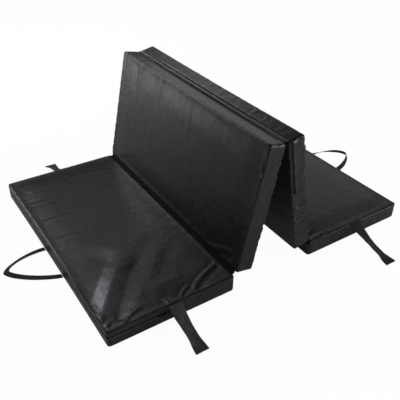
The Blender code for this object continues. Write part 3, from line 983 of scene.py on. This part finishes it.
def makeZip(letter):
    bm = bmesh.new()
    bmesh.ops.create_cube(bm, size=1)
    bmesh.ops.subdivide_edges(bm, edges=edgesAlong(bm, 0), cuts=zipSet["tapeCuts"])
    bmesh.ops.scale(bm, verts=bm.verts, vec=(zipLength, zipSet["tapeThickness"], zipSet["tape"]))
    bmesh.ops.translate(bm, verts=bm.verts, vec=(zipLength / 2, zipSet["tapeThickness"], 0))
    teeth = bmesh.new()
    for i in range(int(zipLength / zipSet["pitch"]) - 2):
        side = 1 if i % 2 else -1
        box(teeth, ((i + 1) * zipSet["pitch"], 0, side * zipSet["toothStep"]), zipSet["tooth"])
    bevelEdges(teeth, teeth.edges, zipSet["toothBevel"], 1)
    teethMesh = meshFrom(teeth, "teeth")
    before = len(bm.faces)
    bm.from_mesh(teethMesh)
    bpy.data.meshes.remove(teethMesh)
    bm.faces.ensure_lookup_table()
    for face in bm.faces[before:]:
        face.material_index = 1
    for vert in bm.verts:
        x, y = zipSpot(vert.co.x, vert.co.y)
        vert.co = (x, y, zipLevel[letter] + vert.co.z)
    bmesh.ops.recalc_face_normals(bm, faces=bm.faces)
    mesh = meshFrom(bm, "zip_chain_" + letter)
    mesh.materials.append(finish["zipTape"])
    mesh.materials.append(finish["metal"])
    linkPiece("zip_chain_" + letter, mesh, finish["zipTape"], "panel_" + letter, letter)


for letter in "abcd":
    makeZip(letter)


runner = {
    "park": 0.040,
    "length": 0.016,
    "width": 0.009,
    "base": 0.0006,
    "plate": 0.0018,
    "waist": (0.30, 0.16),
    "bow": 0.0005,
    "postAt": (0.0012, 0.0024),
    "post": (0.0030, 0.0028, 0.0011),
    "bridgeAt": 0.0011,
    "bridge": (0.0022, 0.0008, 0.0058),
    "bevel": 0.0003,
    "cuts": 7,
}
tab = {
    "length": 0.022,
    "width": 0.007,
    "neck": 0.003,
    "thickness": 0.0010,
    "level": 0.0037,
    "neckLength": 0.0030,
    "shoulder": 0.0028,
    "round": 0.0035,
    "tip": 0.93,
    "holeAt": 0.0155,
    "hole": (0.0033, 0.0013),
    "bevel": 0.00025,
    "rimAngle": 0.8,
}


def makeRunner(letter):
    half = runner["length"] / 2
    middle = runner["base"] + runner["plate"] / 2
    bm = bmesh.new()
    box(bm, (0, middle, 0), (runner["length"], runner["plate"], runner["width"]))
    bmesh.ops.subdivide_edges(bm, edges=edgesAlong(bm, 0, 0.01), cuts=runner["cuts"])
    atTail, atNose = runner["waist"]
    for vert in bm.verts:
        share = vert.co.x / half
        vert.co.z *= 1 - atTail * smooth01(-share) - atNose * smooth01(share * 2 - 1)
        if vert.co.y > middle:
            vert.co.y -= runner["bow"] * share * share
    rise, apart = runner["postAt"]
    for side in (-1, 1):
        box(bm, (0, runner["base"] + runner["plate"] + rise, side * apart), runner["post"])
    box(bm, (0, tab["level"] + runner["bridgeAt"], 0), runner["bridge"])
    bevelEdges(bm, bm.edges, runner["bevel"], 2)
    bmesh.ops.translate(bm, verts=bm.verts, vec=(runner["park"], halfWidth, zipLevel[letter]))
    mesh = meshFrom(bm, "zip_slider_" + letter)
    linkPiece("zip_slider_" + letter, mesh, finish["metal"], "slider_" + letter, letter)


def makeTab(letter):
    way = 1 if letter in "ad" else -1
    bm = bmesh.new()
    bmesh.ops.create_grid(bm, x_segments=20, y_segments=6, size=0.5)
    for vert in bm.verts:
        u, v = vert.co.x + 0.5, vert.co.y * 2
        x = u * tab["length"] - tab["thickness"] / 2 * (1 - u)
        shoulder = smooth01((x - tab["neckLength"]) / tab["shoulder"])
        wide = tab["neck"] + (tab["width"] - tab["neck"]) * shoulder
        end = max(0.0, (x - (tab["length"] - tab["round"])) / tab["round"])
        wide *= math.sqrt(max(0.0, 1 - (end * tab["tip"]) ** 2))
        vert.co = (way * x, 0, v * wide / 2)
    halfLong, halfWide = tab["hole"]
    hole = []
    for face in bm.faces:
        spot = face.calc_center_median()
        if abs(abs(spot.x) - tab["holeAt"]) < halfLong and abs(spot.z) < halfWide:
            hole.append(face)
    bmesh.ops.delete(bm, geom=hole, context="FACES")
    bmesh.ops.solidify(bm, geom=bm.faces, thickness=tab["thickness"])
    level = np.array([vert.co.y for vert in bm.verts])
    bmesh.ops.translate(bm, verts=bm.verts, vec=(0, -float(level.min() + level.max()) / 2, 0))
    rim = [edge for edge in bm.edges if edge.calc_face_angle(0) > tab["rimAngle"]]
    bevelEdges(bm, rim, tab["bevel"], 2)
    bmesh.ops.recalc_face_normals(bm, faces=bm.faces)
    spot = (runner["park"], halfWidth + tab["level"], zipLevel[letter])
    bmesh.ops.translate(bm, verts=bm.verts, vec=spot)
    mesh = meshFrom(bm, "zip_pull_" + letter)
    linkPiece("zip_pull_" + letter, mesh, finish["metal"], "pull_" + letter, letter)


for letter in "abcd":
    makeRunner(letter)
    makeTab(letter)
print("zips placed")


# cloth across the folds

stripSet = {
    "reach": 0.017,
    "flat": 0.0090,
    "bend": 0.003,
    "depth": 0.0031,
    "dip": 0.0016,
    "thick": 0.0008,
    "pucker": 0.0005,
    "finePucker": 0.0004,
    "blend": 0.004,
    # painted shade: how much of the darker creased colour each fold strip takes, with matt roughness
    "shadeShare": {"ab": 0.9, "bc": 0.3, "cd": 0.9},
}
# the ridge strip spans the rims like a low roof
ridgeSet = {"middle": 0.0005, "swell": 0.0026, "swellAt": 0.0032, "swellWide": 0.0018}


def axisOf(frameAt, number):
    return frameAt.to_3x3().col[number].normalized()


foldSites = {
    "ab": (foldAB, Vector((-1, 0, 0)), Vector((0, 0, -1)), axisOf(foldAB, 0), -axisOf(foldAB, 2)),
    "bc": (foldBC, -axisOf(foldAB, 0), axisOf(foldAB, 2), axisOf(foldBC, 0), axisOf(foldBC, 2)),
    "cd": (foldCD, -axisOf(foldBC, 0), -axisOf(foldBC, 2), axisOf(foldCD, 0), -axisOf(foldCD, 2)),
}
for name, (site, firstOut, firstIn, secondOut, secondIn) in foldSites.items():
    middle = site.translation.copy()
    inward = (firstIn + secondIn).normalized()
    bm = bmesh.new()
    bmesh.ops.create_grid(bm, x_segments=24, y_segments=180, size=0.5)
    halfRun = halfWidth - mat["cornerRadius"]
    flatPart = stripSet["flat"]
    for vert in bm.verts:
        u, v = vert.co.x * 2, vert.co.y * 2
        reach = abs(u) * stripSet["reach"]
        out, into = (secondOut, secondIn) if u > 0 else (firstOut, firstIn)
        dip = float(smooth01((reach - flatPart) / (stripSet["reach"] - flatPart)))
        depth = stripSet["depth"] + stripSet["dip"] * dip
        pucker = stripSet["pucker"] * noise.noise((u * 1.5, v * 60, 3.0))
        pucker += stripSet["finePucker"] * noise.noise((u * 3, v * 24, 9.0))
        centre = depth
        if name == "bc":
            centre = ridgeSet["middle"]
            offPeak = (reach - ridgeSet["swellAt"]) / ridgeSet["swellWide"]
            depth += ridgeSet["swell"] * math.exp(-offPeak ** 2)
        flat = out * reach + into * (depth + pucker)
        turned = inward * (centre + pucker)
        share = float(smooth01(reach / stripSet["bend"]))
        spot = turned * (1 - share) + flat * share
        vert.co = (middle.x + spot.x, v * halfRun, middle.z + spot.z)
    bmesh.ops.solidify(bm, geom=bm.faces, thickness=stripSet["thick"])
    bmesh.ops.recalc_face_normals(bm, faces=bm.faces)
    mesh = meshFrom(bm, "fold_strip_" + name)
    spots = meshPoints(mesh)
    giveAttribute(mesh, "clothPlace", spots)
    giveAttribute(mesh, "seamGap", np.full(len(spots), reliefSet["noSeam"]))
    # painted shade in the fold strips
    giveAttribute(mesh, "creaseShadeAndMatt", np.full(len(spots), stripSet["shadeShare"][name]))
    strip = linkPiece("fold_strip_" + name, mesh, finish["cover"], None)
    across = (secondOut - firstOut).normalized()
    halfBlend = across * (stripSet["blend"] * abs(across.dot(secondOut)))
    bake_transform(strip)
    size = (2 * stripSet["reach"], 2 * halfRun)
print("fold strips placed")


# webbing and straps

# webbing is thinner at its edges and a little uneven
ribbonSet = {"edgeThin": 0.5, "edgePower": 8, "waves": 40, "wavesAcross": 1.3}


def ribbon(name, curve, length, width, thickness, steps, wide, wrinkle):
    bm = bmesh.new()
    bmesh.ops.create_cube(bm, size=1)
    for axis, cuts in ((0, steps - 1), (1, wide - 1)):
        bmesh.ops.subdivide_edges(bm, edges=edgesAlong(bm, axis), cuts=cuts, use_grid_fill=True)
    bmesh.ops.recalc_face_normals(bm, faces=bm.faces)
    layerUv = bm.loops.layers.uv.new("along")
    for face in bm.faces:
        for loop in face.loops:
            u, v, w = loop.vert.co
            loop[layerUv].uv = ((u + 0.5) * length, (v + 0.5) * width + w * thickness)
    ring = {}
    for vert in bm.verts:
        u, v, w = vert.co.x + 0.5, vert.co.y * 2, vert.co.z * 2
        key = round(u * steps)
        if key not in ring:
            ring[key] = curve(key / steps)
        middle, across, normal, bend, offset = ring[key]
        thin = 1 - ribbonSet["edgeThin"] * abs(v) ** ribbonSet["edgePower"]
        uneven = noise.noise((u * length * ribbonSet["waves"], v * ribbonSet["wavesAcross"], 2.0))
        lift = offset + w * thickness / 2 * thin + wrinkle * uneven
        side = v * width / 2
        if bend > 0.5:
            # both edges turned up, round a line above the strap
            turn = side * bend
            side = (1 / bend - lift) * math.sin(turn)
            lift = 1 / bend - (1 / bend - lift) * math.cos(turn)
        vert.co = middle + across * side + normal * lift
    return meshFrom(bm, name)


loopSet = {
    "spread": 0.180,
    "width": 0.022,
    "thickness": 0.0018,
    "seat": 30.0,
    "shape": 1.5,
    "endLift": 0.0013,
    "steps": (150, 10),
    "wrinkle": 0.0004,
    "a": {"reach": 0.166, "shift": 0.018, "skew": -0.036, "rise": 0.0, "tilt": 0.0, "lean": 14.0,
          "twist": -12.0},
    "d": {"reach": 0.176, "shift": -0.012, "skew": -0.038, "rise": 0.028, "tilt": 0.030, "lean": 62.0,
          "twist": 0.0},
}


def seamSeat(face, angle):
    # the middle of webbing that lies on the rounded rim, at an angle up from the wall
    turn = math.radians(angle)
    stand = 0.0013
    rim = mat["seamRadius"]
    out = face - rim + (rim + stand) * math.cos(turn)
    return out, edgeScale * (halfThick - rim) + (edgeScale * rim + stand) * math.sin(turn)


loopDraw = mat["endDraw"] * (1 - (loopSet["spread"] / 2 / halfWidth) ** 2)
loopRoot = seamSeat(halfLength - loopDraw, loopSet["seat"])


def loopSpot(u, v, own):
    turn = math.pi * u
    bend = 2 / loopSet["shape"]
    spread = math.copysign(abs(math.cos(turn)) ** bend, math.cos(turn))
    reach = max(0.0, math.sin(turn)) ** bend
    share = float(smooth01(reach))
    lean = math.radians(own["lean"] + own["twist"] * spread) * share
    edge = loopSet["width"] / 2
    endHeight = edge * math.sin(math.radians(own["lean"])) + loopSet["endLift"]
    height = (endHeight - (halfThick - loopRoot[1])) * share + (own["rise"] + own["tilt"] * spread) * reach
    sideways = loopSet["spread"] / 2 * spread + own["skew"] * reach
    middle = Vector((own["reach"] * reach, sideways, height))
    outward = Vector((math.sin(turn), math.cos(turn), 0)).normalized()
    across = outward * math.cos(lean) - Vector((0, 0, 1)) * math.sin(lean)
    return middle + across * edge * v


def loopCurve(letter):
    own = loopSet[letter]
    base = Vector((loopRoot[0], own["shift"], -loopRoot[1]))

    def curve(u):
        middle = loopSpot(u, 0, own)
        across = (loopSpot(u, 1, own) - middle).normalized()
        low, high = max(0.0, u - 0.004), min(1.0, u + 0.004)
        along = (loopSpot(high, 0, own) - loopSpot(low, 0, own)).normalized()
        return base + middle, across, along.cross(across).normalized(), 0.0, 0.0

    return curve


for letter in "ad":
    curve = loopCurve(letter)
    run = [curve(i / 200)[0] for i in range(201)]
    length = sum((b - a).length for a, b in zip(run, run[1:]))
    sizes = (length, loopSet["width"], loopSet["thickness"], *loopSet["steps"])
    mesh = ribbon("carry_handle_" + letter, curve, *sizes, loopSet["wrinkle"])
    linkPiece("carry_handle_" + letter, mesh, finish["handle"], "handle_" + letter, letter)


strapSet = {
    "seat": 20.0,
    "width": 0.050,
    "thickness": 0.0018,
    "sag": 0.014,
    "tip": 0.0013,
    "underPad": 0.0015,
    "padWidth": 0.040,
    "padThickness": 0.0012,
    "padFrom": 0.36,
    "padTo": 0.96,
    "padRise": 0.0012,
    "steps": (60, 16),
    "padSteps": (40, 12),
    "wrinkle": 0.0008,
    "a": {"length": 0.180, "look": "strapSatin", "pad": "loop_pad", "padLook": "loop", "face": -1,
          "cup": 12.0, "roll": -22.0, "rollFrom": 0.55, "rollTo": 0.30},
    "d": {"length": 0.210, "look": "strapMatt", "pad": "hook_pad", "padLook": "hook", "face": 1,
          "cup": 9.0, "roll": 22.0, "rollFrom": 0.5, "rollTo": 0.3},
}
strapRoot = seamSeat(halfWidth, strapSet["seat"])


def strapCurve(letter, side, offset, low, high):
    own = strapSet[letter]
    length = own["length"]
    # a pad below the strap holds its tip off the floor
    tip = strapSet["tip"] + (strapSet["underPad"] if own["face"] < 0 else 0.0)
    drop = halfThick + strapRoot[1] - tip
    slope = Vector((math.sqrt(length ** 2 - drop ** 2), -drop)).normalized()
    square = Vector((-slope.y, slope.x))

    def curve(share):
        u = low + (high - low) * share
        point = slope * length * u - square * strapSet["sag"] * 4 * u * (1 - u)
        heading = slope * length - square * strapSet["sag"] * 4 * (1 - 2 * u)
        heading.normalize()
        normal = Vector((-heading.y, heading.x))
        middle = Vector((0, side * (strapRoot[0] + point.x), strapRoot[1] + point.y))
        share = float(smooth01(u / own["rollFrom"]) * smooth01((1 - u) / own["rollTo"]))
        roll = math.radians(own["roll"]) * share
        across = Vector((side, 0, 0))
        up = Vector((0, side * normal.x, normal.y))
        rolled = across * math.cos(roll) - up * side * math.sin(roll)
        raised = up * math.cos(roll) + across * side * math.sin(roll)
        return middle, rolled, raised, own["cup"] * share, offset

    return curve


for letter in "ad":
    own = strapSet[letter]
    for sideName in ("near", "far"):
        side = (1 if sideName == "near" else -1) * (1 if letter == "a" else -1)
        tag = letter + "_" + sideName
        curve = strapCurve(letter, side, 0.0, 0.0, 1.0)
        name = "side_strap_" + tag
        sizes = (own["length"], strapSet["width"], strapSet["thickness"], *strapSet["steps"])
        mesh = ribbon(name, curve, *sizes, strapSet["wrinkle"])
        linkPiece(name, mesh, finish[own["look"]], "strap_" + tag, letter)
        offset = own["face"] * (strapSet["padRise"] + strapSet["padThickness"] / 2)
        curve = strapCurve(letter, side, offset, strapSet["padFrom"], strapSet["padTo"])
        name = own["pad"] + "_" + tag
        padLength = own["length"] * (strapSet["padTo"] - strapSet["padFrom"])
        sizes = (padLength, strapSet["padWidth"], strapSet["padThickness"], *strapSet["padSteps"])
        mesh = ribbon(name, curve, *sizes, 0.0)
        linkPiece(name, mesh, finish[own["padLook"]], "strap_" + tag, letter)
print("straps and handles placed")

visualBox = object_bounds()
sizes = {
    "cad": [[float(v) for v in corner] for corner in cadBox],
    "visual": [[float(v) for v in corner] for corner in visualBox],
}
print("sizes:", sizes)
